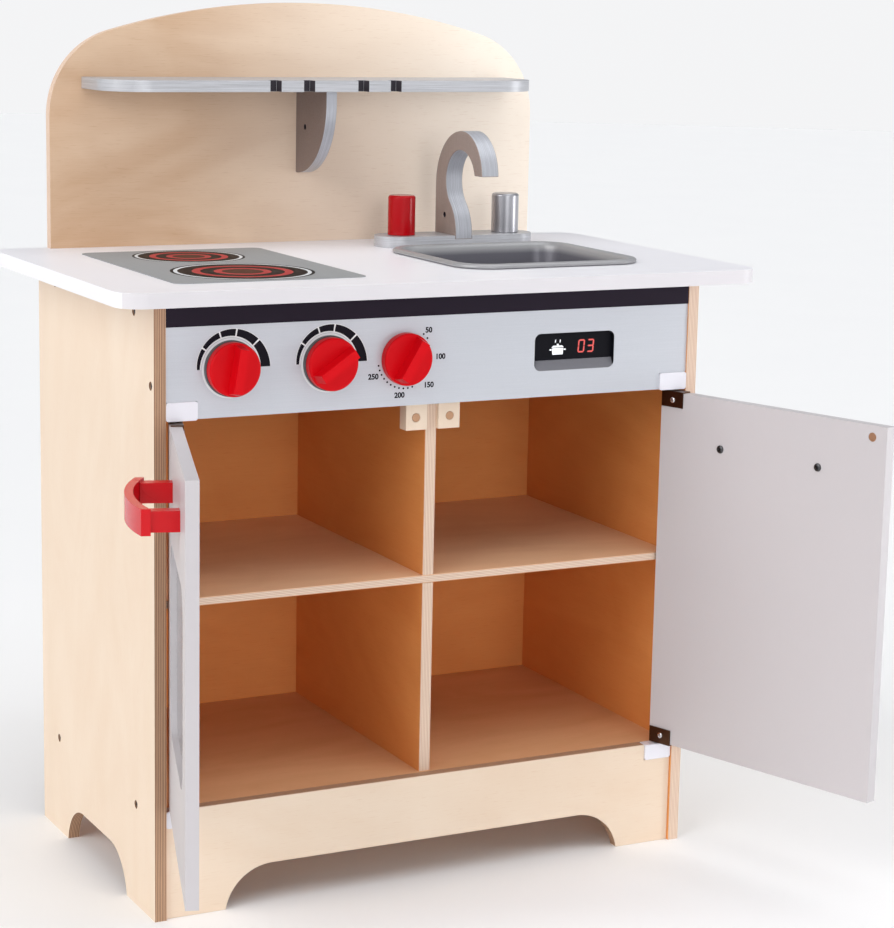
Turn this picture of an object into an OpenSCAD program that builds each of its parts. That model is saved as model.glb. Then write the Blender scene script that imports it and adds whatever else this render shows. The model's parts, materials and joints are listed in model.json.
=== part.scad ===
// Toy kitchen: a plywood play cabinet with a hob, a drop-in sink with faucet and taps,
// a control panel with three turning knobs, two swinging doors and an arched splashback.
// Millimetres. X runs along the front, Y runs from the front to the wall, Z is up.
// The origin is on the floor, at the middle of the ground that the kitchen covers with its
// doors open as they stand. The modules below measure Y from the cabinet's front edge.

/* [Cabinet] */
// Outside width of the cabinet, over both side panels
cab_w = 600; // [560:10:640]
// Depth of the side panels
cab_d = 345; // [330:5:360]
// Height of the side panels, up to the underside of the countertop
cab_h = 608; // [590:1:630]
// Thickness of the structural plywood
ply = 12; // [11:0.5:13]
// Thickness of the middle shelf
shelf_t = 8; // [6:1:9]
// Height of the cupboard floor above the ground
floor_z = 110; // [100:1:120]
// Height of the middle shelf's top face
mid_z = 316.7; // [300:1:330]
// Height of the arches between the feet
arch_h = 42; // [30:1:50]

/* [Countertop] */
// Width of the countertop
top_w = 694; // [680:2:720]
// Thickness of the countertop
top_t = 14.5; // [12:0.5:16]
// Overhang of the countertop past the front of the cabinet
top_front = 46; // [40:1:50]
// Radius of the countertop's corners
top_r = 26; // [15:1:30]

/* [Splashback] */
// Width of the splashback
splash_w = 572; // [560:2:600]
// Height of the splashback's crown above the countertop
splash_h = 258.5; // [250:0.5:270]
// Radius of the shallow arch along the splashback's top
crown_r = 780; // [700:10:900]
// Radius of the splashback's two shoulders
shoulder_r = 92; // [70:1:100]
// Height of the hanging shelf's underside above the countertop
hang_z = 167; // [150:1:172]
// Width of the hanging shelf
hang_w = 502; // [460:2:520]
// Depth of the hanging shelf
hang_d = 93; // [85:1:100]

/* [Doors] */
// Angle at which both doors stand open
door_open = 107.8; // [0:0.1:120]
// Width of each door
door_w = 284; // [282:1:284]
// Distance from the side panel's inner face to the hinge axis
pivot_gap = 11.5; // [11.5:0.5:14]
// Spacing of the two handle posts
post_gap = 123.4; // [110:0.2:140]
// Height of the handles
handle_z = 440.5; // [420:0.5:450]

/* [Controls] */
// Diameter of the red knobs
knob_d = 52; // [46:1:54]
// Height of the knobs' axes
knob_z = 542; // [538:1:546]
// Direction of the first knob's pointer, counted from the right
pointer_1 = 81; // [0:1:360]
// Direction of the second knob's pointer, counted from the right
pointer_2 = 34; // [0:1:360]
// Direction of the third knob's pointer, counted from the right
pointer_3 = 59; // [0:1:360]

/* [Sink and faucet] */
// Width of the sink over its rim
sink_w = 214; // [200:2:220]
// Length of the sink over its rim, from front to back
sink_l = 202; // [190:2:204]
// Depth of the sink below the countertop's top face
sink_depth = 48; // [40:1:55]
// Height of the two taps
tap_h = 43; // [35:1:45]
// Distance between the two taps
tap_gap = 128; // [120:1:134]

/* [Hidden] */
$fn = 96;
play = 0.05;                        // radial clearance of pins and screws in their holes
loose = 0.4;                        // gap between pieces that turn or slide on each other
in_w = cab_w / 2 - ply;             // half of the clear width inside the cabinet

top_z = cab_h + top_t;              // top face of the countertop
top_back = 15;
top_y1 = cab_d + top_back;
splash_y = top_y1 - 2 - ply;        // front face of the splashback

skirt_y = 3.5;                      // front face of the skirt
panel_y = 1.5;                      // front face of the control panel
panel_t = 15;
panel_z0 = 495.2;
panel_z1 = 583.5;
inner_y = 18.5;                     // front edges of the divider and the middle shelf
back_t = 5;
back_y = cab_d - 11.5;              // front face of the thin back panel
slot_y = (inner_y + back_y) / 2;    // where the cross-lap slots meet
lap_gap = 0.15;                     // slack each side of the cross-lap joint

foot_side = 80.5;                   // length of each foot of a side panel
foot_front = 63;                    // length of each foot of the skirt
arch_r = 50;                        // radius of the arches' upper corners

pivot_x = in_w - pivot_gap;
pivot_y = 7;
door_t = 12;
door_edge = 9;                      // from the hinge axis to the door's hinge edge
door_z0 = floor_z + 2.4;
door_z1 = panel_z0 - 3.6;
door_mid = door_edge - door_w / 2;  // middle of a door, along it from the hinge axis

door_front_y = pivot_y - (door_w - door_edge) * sin(door_open) + door_t / 2 * cos(door_open);
plan_mid_y = (min(-top_front, door_front_y) + top_y1) / 2;
through = 30;                       // deeper than any panel, for cuts that go right through

block_w = 32;                       // hinge blocks
block_h = 18;
block_low_h = 17;
block_proud = 2;
pin_r = 2;
leaf_t = 1.4;                       // thickness of the metal hinge brackets
leaf_w = 28;
leaf_h = 17;

window_w = 204;
window_h = 186;
window_z = 293;
window_r = 30;
rebate = 8;
pane_t = 3;

handle_bar = 8;                     // thickness of the handles' bowed bar
handle_h = 24;
handle_out = 46;                    // how far the middle of the bar stands off the door
handle_end = 34;
post_w = 13;
post_h = 19;
bar_half = post_gap / 2 + 9;
bar_sag = handle_out - handle_end;
bar_r = (bar_half * bar_half + bar_sag * bar_sag) / (2 * bar_sag);

knob_x = [-222.5, -120.5, -38];
knob_t = 9;
grip_w = 9;                         // fin across a knob's face, which the hand turns
grip_t = 15;
grip_l = knob_d - 1.5;
grip_in = 4;                        // how far the fin narrows at each end towards its front
ring_t = 4.5;
bolt_r = 3;
display_x = 153.7;
display_z = 540.6;
display_w = 93;
display_h = 38;
display_r = 7;
display_in = 4;                     // depth of the display's recess
sill_h = 10;                        // height of the slope at the recess's foot
screen_t = 1.2;                     // black tray that lines the recess
screen_gap = 0.1;

hob_x = -174;
hob_y = 150;
hob_w = 200;
hob_l = 280;
hob_t = 0.8;
hob_r = 11;

sink_x = 151;
sink_y = 131;
sink_r = 38;
rim_w = 11;
rim_h = 5;
sink_wall = 2.5;
sink_gap = 1.5;

faucet_x = 150.5;
faucet_y = 269;
faucet_w = 20.5;
plate_r = 25;
plate_half = 69.2;
plate_z1 = top_z + ply;
notch_d = 4;                        // depth of the housing that the faucet's foot sits in
tap_r = 15;
tap_pin_r = 4;

catch_w = 24;
catch_h = 27;
catch_d = 15;
catch_y = 13.6;
magnet_x = 18.7;
magnet_z = 480;
magnet_r = 4.3;
magnet_t = 4;

cleat_w = 20;
cleat_h = 28;
cleat_y0 = 24;
cleat_y1 = 328;

screw_r = 2;                        // shank of the panel screws
thin_r = 1.5;                       // shank of the thin screws in the back and the brackets
thin_head_r = 3.2;
head_r = 4.2;
head_t = 2;
head_sunk = 1;
// Places of the screws in each side panel, as depth and height
side_screws = [[54, 593], [291, 593], [9, 528], [53, 104], [291, 104]];
// Places of the screws in the back panel, as X and height
back_screw_spots = [[-200, 104], [0, 104], [200, 104], [0, 220], [0, 440]];

birch = "#e8cfa6";
birch_dark = "#c58f5b";
white = "#f2f1f4";
red = "#d8121f";
silver = "#a9acb0";
brushed = "#c3c8cd";
near_black = "#1f1a24";
steel = "#8d8f92";
bronze = "#4a2f22";

// ---- shared shapes ----

// Rectangle centred on the origin with round corners
module round_rect(w, h, r) {
    square([w - 2 * r, h], center = true);
    square([w, h - 2 * r], center = true);
    for (x = [-1, 1], y = [-1, 1])
        translate([x * (w / 2 - r), y * (h / 2 - r)]) circle(r);
}

// Slab with round corners, standing on z0
module round_slab(w, h, r, z0, t) {
    translate([0, 0, z0]) linear_extrude(t) round_rect(w, h, r);
}

// Cuts a drawing in X and Z into a solid that runs from y0 to y0 + t
module upright(y0, t) {
    translate([0, y0 + t, 0]) rotate([90, 0, 0]) linear_extrude(t) children();
}

// Cuts a drawing in Y and Z into a solid that runs from x0 to x0 + t
module sideways(x0, t) {
    translate([x0, 0, 0]) rotate([90, 0, 90]) linear_extrude(t) children();
}

// Arch between two feet, from a to b along the ground, with round upper corners
module arch_gap(a, b) {
    below = 60;
    rise = arch_h + below;
    translate([(a + b) / 2, arch_h - rise / 2]) round_rect(b - a, rise, arch_r);
}

// Cylinder along X, Y or Z from a point
module rod_x(p, r, l) { translate(p) rotate([0, 90, 0]) cylinder(h = l, r = r); }
module rod_y(p, r, l) { translate(p) rotate([-90, 0, 0]) cylinder(h = l, r = r); }
module rod_z(p, r, l) { translate(p) cylinder(h = l, r = r); }

// The right-hand shape as drawn, or its mirror image on the left
module sided(side) {
    if (side > 0)
        children();
    else
        mirror([1, 0, 0]) children();
}

// Places a door's pieces: they are drawn closed, with the hinge axis at the origin and
// the door reaching out along -X, and swing open together
module on_door(side) {
    sided(side) translate([pivot_x, pivot_y, 0]) rotate([0, 0, door_open]) children();
}

// Moves the kitchen so that the origin is at the middle of the ground it covers
module centred() {
    translate([0, -plan_mid_y, 0]) children();
}

// ---- cabinet ----

side_shank = 35;

module side_panel(side) {
    color(birch) sided(side) difference() {
        sideways(in_w, ply) difference() {
            square([cab_d, cab_h]);
            arch_gap(foot_side, cab_d - foot_side);
        }
        for (s = side_screws) {
            rod_x([in_w - 1, s[0], s[1]], screw_r + play, ply + 2);
            rod_x([in_w + ply - head_t - head_sunk, s[0], s[1]], head_r + play, ply);
        }
    }
}

// Screws driven through a side panel into the pieces between the sides
module panel_screws(side) {
    color(steel) sided(side) for (s = side_screws) {
        rod_x([in_w + ply - head_sunk - head_t, s[0], s[1]], head_r, head_t);
        rod_x([in_w + ply - head_sunk - side_shank, s[0], s[1]], screw_r, side_shank);
    }
}

// Holes that the side screws need in the pieces between the sides
module side_screw_holes() {
    for (side = [-1, 1], s = side_screws)
        sided(side) rod_x([in_w - side_shank, s[0], s[1]], screw_r + play, side_shank + 1);
}

back_bite = 15;                     // how deep the back panel's screws go

// Holes for the screws that hold the back panel
module back_screw_holes() {
    for (b = back_screw_spots)
        rod_y([b[0], back_y - back_bite - 1, b[1]], thin_r + play, back_bite + through);
}

module floor_panel() {
    color(birch_dark) difference() {
        translate([-in_w, skirt_y + ply, floor_z - ply])
            cube([2 * in_w, back_y - skirt_y - ply, ply]);
        side_screw_holes();
        back_screw_holes();
    }
}

module centre_divider() {
    slot_h = shelf_t + 2 * lap_gap;
    color(birch_dark) difference() {
        translate([-ply / 2, inner_y, floor_z]) cube([ply, back_y - inner_y, cab_h - floor_z]);
        translate([-ply, inner_y - 1, mid_z - shelf_t - lap_gap])
            cube([2 * ply, slot_y - inner_y + 1, slot_h]);
        back_screw_holes();
    }
}

module mid_shelf() {
    slot_w = ply + 2 * lap_gap;
    color(birch_dark) difference() {
        translate([-in_w, inner_y, mid_z - shelf_t])
            cube([2 * in_w, back_y - inner_y, shelf_t]);
        translate([-slot_w / 2, slot_y, mid_z - 2 * shelf_t])
            cube([slot_w, back_y - slot_y + 1, 3 * shelf_t]);
    }
}

module back_panel() {
    color(birch_dark) difference() {
        translate([-in_w, back_y, floor_z - ply])
            cube([2 * in_w, back_t, cab_h - floor_z + ply]);
        back_screw_holes();
    }
}

module back_screws() {
    color(steel) for (b = back_screw_spots) {
        rod_y([b[0], back_y - back_bite, b[1]], thin_r, back_bite + back_t);
        rod_y([b[0], back_y + back_t, b[1]], thin_head_r, head_t);
    }
}

module front_skirt() {
    color(birch) difference() {
        upright(skirt_y, ply) difference() {
            translate([-in_w, 0]) square([2 * in_w, floor_z]);
            arch_gap(-in_w + foot_front, in_w - foot_front);
        }
        for (side = [-1, 1])
            sided(side) translate([in_w - block_w, 0, floor_z - block_low_h])
                cube([block_w + 1, through, block_low_h + 1]);
    }
}

module fascia_strip() {
    color(near_black) translate([-in_w, 0.5, panel_z1]) cube([2 * in_w, ply, cab_h - panel_z1]);
}

module top_cleat(side) {
    color(birch) difference() {
        sided(side) translate([in_w - cleat_w, cleat_y0, cab_h - cleat_h])
            cube([cleat_w, cleat_y1 - cleat_y0, cleat_h]);
        side_screw_holes();
        top_screw_holes();
    }
}

// ---- countertop, hob and splashback ----

top_screw_y = [100, 250];
top_bite = 9;                       // how deep these screws go into the countertop

module top_screw_holes() {
    for (side = [-1, 1], y = top_screw_y)
        rod_z([side * (in_w - cleat_w / 2), y, cab_h - cleat_h - 1], screw_r + play,
            cleat_h + top_bite + 2);
}

// Screws driven up through the cleats into the countertop
module top_screws() {
    color(steel) for (side = [-1, 1], y = top_screw_y) {
        x = side * (in_w - cleat_w / 2);
        rod_z([x, y, cab_h - cleat_h - head_t], head_r, head_t);
        rod_z([x, y, cab_h - cleat_h], screw_r, cleat_h + top_bite);
    }
}

splash_screw_x = [-200, 0, 200];
// Screws from behind into the hanging shelf and its bracket, as X and height
hang_screws = [[-180, hang_z + ply / 2], [180, hang_z + ply / 2],
    [0, hang_z - 65], [0, hang_z - 25]];
splash_screw_l = 36;

module splash_screw_holes() {
    for (x = splash_screw_x)
        rod_z([x, splash_y + ply / 2, cab_h - 1], screw_r + play, splash_screw_l + 2);
    for (s = hang_screws)
        rod_y([s[0], splash_y + ply - splash_screw_l, top_z + s[1]], screw_r + play,
            splash_screw_l + 2);
}

// Screws that hold the splashback from below, and the hanging shelf from behind
module splash_screws() {
    color(steel) for (x = splash_screw_x) {
        rod_z([x, splash_y + ply / 2, cab_h - head_t], head_r, head_t);
        rod_z([x, splash_y + ply / 2, cab_h], screw_r, splash_screw_l);
    }
    color(steel) for (s = hang_screws) {
        rod_y([s[0], splash_y + ply, top_z + s[1]], head_r, head_t);
        rod_y([s[0], splash_y + ply - splash_screw_l + 1, top_z + s[1]], screw_r,
            splash_screw_l - 1);
    }
}

module countertop() {
    color(white) difference() {
        translate([0, (top_y1 - top_front) / 2, 0])
            round_slab(top_w, top_y1 + top_front, top_r, cab_h, top_t);
        translate([sink_x, sink_y, 0])
            round_slab(sink_w - 2 * rim_w + 2 * sink_gap, sink_l - 2 * rim_w + 2 * sink_gap,
                sink_r - rim_w + sink_gap, cab_h - 1, top_t + 2);
        top_screw_holes();
        splash_screw_holes();
    }
}

// Outline of the splashback: a shallow arch that meets upright sides in round shoulders
module splash_outline() {
    crown_c = splash_h - crown_r;
    shoulder_x = splash_w / 2 - shoulder_r;
    reach = crown_r - shoulder_r;
    shoulder_z = crown_c + sqrt(reach * reach - shoulder_x * shoulder_x);
    meet_x = shoulder_x * crown_r / reach;
    translate([-splash_w / 2, 0]) square([splash_w, shoulder_z]);
    intersection() {
        translate([0, crown_c]) circle(crown_r, $fn = 360);
        translate([-meet_x, 0]) square([2 * meet_x, splash_h + 1]);
    }
    for (x = [-shoulder_x, shoulder_x])
        translate([x, shoulder_z]) circle(shoulder_r);
}

module splashback() {
    color(birch) difference() {
        translate([0, 0, top_z]) upright(splash_y, ply) splash_outline();
        splash_screw_holes();
    }
}

notch_x = [-69.8, -31.5, 31.5, 69.8];
notch_w = 12.8;
notch_l = 14;
hang_r = 46;

module hanging_shelf() {
    y0 = splash_y - hang_d;
    color(silver) difference() {
        translate([0, 0, top_z + hang_z]) linear_extrude(ply) difference() {
            union() {
                translate([-hang_w / 2, y0 + hang_r]) square([hang_w, hang_d - hang_r]);
                translate([-hang_w / 2 + hang_r, y0]) square([hang_w - 2 * hang_r, hang_d]);
                for (x = [-1, 1])
                    translate([x * (hang_w / 2 - hang_r), y0 + hang_r]) circle(hang_r);
            }
            for (x = notch_x)
                translate([x - notch_w / 2, y0 - 1]) square([notch_w, notch_l + 1]);
        }
        splash_screw_holes();
    }
}

bracket_d = 80;
bracket_h = 91;
bracket_r = 78;
plug_r = 3;                         // blind plug holes in the bracket and the faucet
plug_in = 4;

module shelf_bracket() {
    color(silver) difference() {
        translate([0, splash_y, top_z + hang_z]) sideways(-ply / 2, ply) {
            translate([-bracket_d, -bracket_h + bracket_r])
                square([bracket_d, bracket_h - bracket_r]);
            translate([-bracket_d + bracket_r, -bracket_h])
                square([bracket_d - bracket_r, bracket_h]);
            intersection() {
                translate([-bracket_d + bracket_r, -bracket_h + bracket_r]) circle(bracket_r);
                translate([-bracket_d, -bracket_h]) square(bracket_r);
            }
        }
        rod_x([-ply, splash_y - 24, top_z + hang_z - 40.5], plug_r, ply / 2 + plug_in);
        splash_screw_holes();
    }
}

module hob_plate() {
    color(brushed) translate([hob_x, hob_y, 0]) round_slab(hob_w, hob_l, hob_r, top_z, hob_t);
}

// ---- sink, faucet and taps ----

module sink_basin() {
    bowl_w = sink_w - 2 * rim_w;
    bowl_l = sink_l - 2 * rim_w;
    bowl_r = sink_r - rim_w;
    rim_z = top_z + loose;
    color(silver) translate([sink_x, sink_y, 0]) difference() {
        union() {
            round_slab(sink_w, sink_l, sink_r, rim_z, rim_h);
            round_slab(bowl_w, bowl_l, bowl_r, top_z - sink_depth, sink_depth + 1);
        }
        round_slab(bowl_w - 2 * sink_wall, bowl_l - 2 * sink_wall, bowl_r - sink_wall,
            top_z - sink_depth + sink_wall, sink_depth + 10);
    }
}

module faucet_plate() {
    color(silver) difference() {
        translate([faucet_x, faucet_y, 0])
            round_slab(2 * (plate_half + plate_r), 2 * plate_r, plate_r - 0.01, top_z, ply);
        translate([faucet_x - faucet_w / 2 - lap_gap, faucet_y - plate_r - 1, plate_z1 - notch_d])
            cube([faucet_w + 2 * lap_gap, 2 * plate_r + 2, notch_d + 1]);
        for (side = [-1, 1])
            rod_z([faucet_x + side * tap_gap / 2, faucet_y, top_z + 2], tap_pin_r + play, ply);
    }
}

// Side view of the faucet: a hook whose slim stem swells smoothly into a foot. It is drawn
// from the foot's back corner on the plate, with the spout reaching out along +X.
module faucet_outline() {
    foot = 2 * plate_r;
    top_h = 114;
    back_r = 60;                    // outer curve above the stem
    spout_r = 48;                   // outer curve above the spout
    tip_h = 68;
    hollow = [58, 59.5];            // centre of the round hollow inside the hook
    hollow_r = 34;
    // The foot's curve touches the hollow's curve, and stands upright where it meets the plate
    swell_x = (hollow * hollow - pow(foot + hollow_r, 2)) / (2 * (hollow[0] - foot - hollow_r));
    translate([faucet_y + plate_r, plate_z1]) mirror([1, 0]) {
        translate([0, -notch_d]) square([foot, notch_d]);
        intersection() {
            translate([swell_x, 0]) circle(foot - swell_x);
            square([foot, foot]);
        }
        difference() {
            union() {
                polygon([[0, 0], [swell_x, 0], hollow, [0, top_h - back_r]]);
                intersection() {
                    translate([back_r, top_h - back_r]) circle(back_r);
                    translate([0, top_h - back_r]) square(back_r);
                }
                intersection() {
                    translate([back_r, top_h - spout_r]) circle(spout_r);
                    translate([back_r, tip_h]) square([spout_r, top_h - tip_h]);
                }
            }
            translate(hollow) circle(hollow_r);
        }
    }
}

module faucet() {
    color(silver) difference() {
        sideways(faucet_x - faucet_w / 2, faucet_w) faucet_outline();
        rod_x([faucet_x - faucet_w / 2 - 1, faucet_y + 3, plate_z1 + 20.5], plug_r,
            plug_in + 1);
    }
}

module tap(side) {
    z0 = plate_z1 + loose;
    edge = 3;
    bore = 26;
    color(side < 0 ? red : silver) translate([faucet_x + side * tap_gap / 2, faucet_y, z0])
        difference() {
            rotate_extrude() {
                square([tap_r, tap_h - edge]);
                square([tap_r - edge, tap_h]);
                translate([tap_r - edge, tap_h - edge]) circle(edge);
            }
            translate([0, 0, -1]) cylinder(h = bore, r = tap_pin_r + play);
        }
}

// Pins standing in the plate, which the taps turn on
module tap_pins() {
    color(steel) for (side = [-1, 1])
        rod_z([faucet_x + side * tap_gap / 2, faucet_y, top_z + 2], tap_pin_r, ply + 20);
}

// ---- control panel and knobs ----

// The display's recess, smaller all round by a gap, with a slope at its foot
module display_recess(gap) {
    z0 = display_z - display_h / 2;
    out = 5;
    intersection() {
        translate([display_x, 0, display_z]) upright(panel_y - out, 3 * out)
            round_rect(display_w - 2 * gap, display_h - 2 * gap, display_r - gap);
        sideways(display_x - display_w, 2 * display_w)
            polygon([[panel_y - out, z0], [panel_y, z0 + gap], [panel_y + display_in, z0 + sill_h],
                [panel_y + display_in + screen_t, z0 + sill_h],
                [panel_y + display_in + screen_t, z0 + display_h],
                [panel_y - out, z0 + display_h]]);
    }
}

module control_panel() {
    color(brushed) difference() {
        translate([-in_w, panel_y, panel_z0]) cube([2 * in_w, panel_t, panel_z1 - panel_z0]);
        for (x = knob_x)
            rod_y([x, panel_y - 1, knob_z], bolt_r + play, panel_t + 2);
        for (side = [-1, 1])
            sided(side) translate([in_w - block_w, 0, panel_z0 - 1])
                cube([block_w + 1, through, block_h]);
        display_recess(0);
        side_screw_holes();
    }
}

// Black tray in the display's recess: its back is the screen, and it leaves the slope bare
module display_plate() {
    lip = 0.9;
    color(near_black) difference() {
        intersection() {
            display_recess(screen_gap);
            translate([display_x - display_w, panel_y, display_z - display_h / 2 + lip])
                cube([2 * display_w, panel_t, display_h]);
        }
        translate([display_x, 0, display_z - lip]) upright(panel_y - lip, lip + display_in)
            round_rect(display_w - 2 * lip, display_h, display_r - lip);
    }
}

// Front face of the piece that a knob turns on
function seat_y(i) = i < 2 ? panel_y - ring_t : panel_y;

module knob(i, pointer) {
    back = seat_y(i) - loose;
    edge = 2;
    color(red) translate([knob_x[i], back, knob_z]) rotate([0, -pointer, 0]) difference() {
        union() {
            rotate([90, 0, 0]) rotate_extrude() {
                square([knob_d / 2, knob_t - edge]);
                square([knob_d / 2 - edge, knob_t]);
                translate([knob_d / 2 - edge, knob_t - edge]) circle(edge);
            }
            translate([0, 0, -grip_w / 2]) linear_extrude(grip_w) polygon([
                [-grip_l / 2, -edge], [grip_l / 2, -edge],
                [grip_l / 2 - grip_in, -knob_t - grip_t],
                [-grip_l / 2 + grip_in, -knob_t - grip_t]]);
        }
        rod_y([0, -knob_t + 1, 0], bolt_r + play, knob_t);
    }
}

module knob_ring(i) {
    color("#55565b") difference() {
        rod_y([knob_x[i], panel_y - ring_t, knob_z], knob_d / 2 + 1, ring_t);
        rod_y([knob_x[i], panel_y - ring_t - 1, knob_z], bolt_r + 0.5, ring_t + 2);
    }
}

// Bolt that a knob turns with, held by its head behind the panel
module knob_bolt(i) {
    y0 = seat_y(i) - loose - knob_t + 1.5;
    y1 = panel_y + panel_t + loose;
    color(steel) {
        rod_y([knob_x[i], y0, knob_z], bolt_r, y1 - y0);
        rod_y([knob_x[i], y1, knob_z], 2 * bolt_r, bolt_r);
    }
}

// ---- doors ----

handle_posts = [door_mid - post_gap / 2, door_mid + post_gap / 2];
post_bite = 18;                     // how deep the handle's screws go into its posts
strike_x = magnet_x - pivot_x;
strike_r = 4.5;
strike_t = 1.5;
pin_in = 5;                         // how deep the hinge pins sit in the door
pin_l = 20;

module door_holes() {
    for (x = handle_posts)
        rod_y([x, -door_t, handle_z], screw_r + play, 2 * door_t);
    for (z = [door_z0, door_z1])
        rod_z([0, 0, z - pin_in - 1], pin_r + play, 2 * pin_in + 2);
    for (z = bracket_screw_z)
        rod_y([bracket_screw_x, -2, z], thin_r + play, door_t);
    rod_y([strike_x, door_t / 2 - strike_t - 0.1, magnet_z], strike_r + play, 2 * strike_t);
}

module door_blank() {
    difference() {
        translate([door_edge - door_w, -door_t / 2, door_z0])
            cube([door_w, door_t, door_z1 - door_z0]);
        door_holes();
    }
}

module door_right() {
    color(white) on_door(1) door_blank();
}

module window_shape(grow) {
    translate([door_mid, window_z])
        round_rect(window_w + 2 * grow, window_h + 2 * grow, window_r + grow);
}

module door_left() {
    color(white) on_door(-1) difference() {
        door_blank();
        upright(-door_t, 2 * door_t) window_shape(0);
        upright(0, door_t) window_shape(rebate);
    }
}

// Clear pane that sits in a rebate cut from the inside of the left door
module oven_window() {
    color([0.75, 0.8, 0.84, 0.45]) on_door(-1) upright(0, pane_t) window_shape(rebate - 0.1);
}

module handle(side) {
    centre_y = -door_t / 2 - handle_out + bar_r;
    color(red) on_door(side) difference() {
        union() {
            translate([door_mid, 0, handle_z - handle_h / 2]) linear_extrude(handle_h)
                intersection() {
                    difference() {
                        translate([0, centre_y]) circle(bar_r, $fn = 240);
                        translate([0, centre_y]) circle(bar_r - handle_bar, $fn = 240);
                    }
                    translate([-bar_half, -door_t / 2 - handle_out - 1])
                        square([2 * bar_half, handle_out]);
                }
            for (x = handle_posts)
                translate([x - post_w / 2, -door_t / 2 - 30, handle_z - post_h / 2])
                    cube([post_w, 30, post_h]);
        }
        for (x = handle_posts)
            rod_y([x, -door_t / 2 - post_bite - 2, handle_z], screw_r + play, post_bite + 3);
    }
}

module handle_screws(side) {
    color(steel) on_door(side) for (x = handle_posts) {
        rod_y([x, door_t / 2, handle_z], head_r, head_t);
        rod_y([x, -door_t / 2 - post_bite, handle_z], screw_r, door_t + post_bite);
    }
}

module strike_disc(side) {
    color("#b8734a") on_door(side) rod_y([strike_x, door_t / 2 - strike_t, magnet_z], strike_r,
        strike_t);
}

// ---- hinges ----

bracket_screw_x = -7;
bracket_screw_z = [door_z0 + 8, door_z1 - 8];

// Bent metal bracket on a door's corner: one leaf on the edge, one on the inner face
module bracket_shape() {
    far = leaf_w - door_edge + 1;
    difference() {
        union() {
            translate([-far, -door_t / 2 + 1, 0]) cube([leaf_w, door_t - 1 + leaf_t, leaf_t]);
            translate([-far, door_t / 2, -leaf_h + leaf_t]) cube([leaf_w, leaf_t, leaf_h]);
        }
        rod_z([0, 0, -1], pin_r + play, leaf_t + 2);
        rod_y([bracket_screw_x, 0, -8], thin_r + play, door_t);
    }
}

module door_bracket(side, upper) {
    color(bronze) on_door(side) {
        if (upper)
            translate([0, 0, door_z1]) bracket_shape();
        else
            translate([0, 0, door_z0]) mirror([0, 0, 1]) bracket_shape();
    }
}

module bracket_screws(side) {
    color(steel) on_door(side) for (z = bracket_screw_z) {
        rod_y([bracket_screw_x, door_t / 2 + leaf_t, z], thin_head_r, 1.6);
        rod_y([bracket_screw_x, -1, z], thin_r, door_t / 2 + leaf_t + 1);
    }
}

module hinge_pins(side) {
    color(steel) on_door(side) {
        rod_z([0, 0, door_z1 - pin_in], pin_r, pin_l);
        rod_z([0, 0, door_z0 + pin_in - pin_l], pin_r, pin_l);
    }
}

// White block let into the panel above a door, or into the skirt below it
module hinge_block(side, upper) {
    h = upper ? block_h : block_low_h;
    y0 = (upper ? panel_y : skirt_y) - block_proud;
    y1 = upper ? panel_y + panel_t : skirt_y + ply;
    z0 = upper ? panel_z0 - 1 : floor_z - block_low_h;
    color(white) sided(side) difference() {
        translate([in_w - block_w / 2, 0, z0 + h / 2]) upright(y0, y1 - y0)
            round_rect(block_w - 0.2, h, 2.5);
        rod_z([pivot_x, pivot_y, upper ? z0 - 1 : z0 + 1], pin_r + play, h);
    }
}

module catch_block(side) {
    color(birch) sided(side) difference() {
        translate([ply / 2, catch_y, panel_z0 - 1 - catch_h]) cube([catch_w, catch_d, catch_h]);
        rod_y([magnet_x, catch_y - 1, magnet_z], magnet_r + play, magnet_t + 1);
    }
}

module catch_magnets() {
    color(steel) for (side = [-1, 1])
        rod_y([side * magnet_x, catch_y, magnet_z], magnet_r, magnet_t);
}

centred() side_panel(-1);  // side_panel_left
centred() side_panel(1);  // side_panel_right
centred() floor_panel();
centred() centre_divider();
centred() mid_shelf();
centred() back_panel();
centred() front_skirt();
centred() control_panel();
centred() fascia_strip();
centred() top_cleat(-1);  // top_cleat_left
centred() top_cleat(1);  // top_cleat_right
centred() countertop();
centred() splashback();
centred() hanging_shelf();
centred() shelf_bracket();
centred() hob_plate();
centred() sink_basin();
centred() faucet();
centred() faucet_plate();
centred() tap(-1);  // tap_red
centred() tap(1);  // tap_grey
centred() tap_pins();
centred() knob(0, pointer_1);  // knob_1
centred() knob(1, pointer_2);  // knob_2
centred() knob(2, pointer_3);  // knob_3
centred() knob_ring(0);  // knob_ring_1
centred() knob_ring(1);  // knob_ring_2
centred() knob_bolt(0);  // knob_bolt_1
centred() knob_bolt(1);  // knob_bolt_2
centred() knob_bolt(2);  // knob_bolt_3
centred() display_plate();
centred() door_left();
centred() door_right();
centred() oven_window();
centred() handle(-1);  // handle_left
centred() handle(1);  // handle_right
centred() hinge_block(-1, true);  // hinge_block_left_top
centred() hinge_block(-1, false);  // hinge_block_left_bottom
centred() hinge_block(1, true);  // hinge_block_right_top
centred() hinge_block(1, false);  // hinge_block_right_bottom
centred() door_bracket(-1, true);  // door_bracket_left_top
centred() door_bracket(-1, false);  // door_bracket_left_bottom
centred() door_bracket(1, true);  // door_bracket_right_top
centred() door_bracket(1, false);  // door_bracket_right_bottom
centred() hinge_pins(-1);  // hinge_pins_left
centred() hinge_pins(1);  // hinge_pins_right
centred() bracket_screws(-1);  // bracket_screws_left
centred() bracket_screws(1);  // bracket_screws_right
centred() handle_screws(-1);  // handle_screws_left
centred() handle_screws(1);  // handle_screws_right
centred() catch_block(-1);  // catch_block_left
centred() catch_block(1);  // catch_block_right
centred() catch_magnets();
centred() strike_disc(-1);  // strike_disc_left
centred() strike_disc(1);  // strike_disc_right
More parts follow.
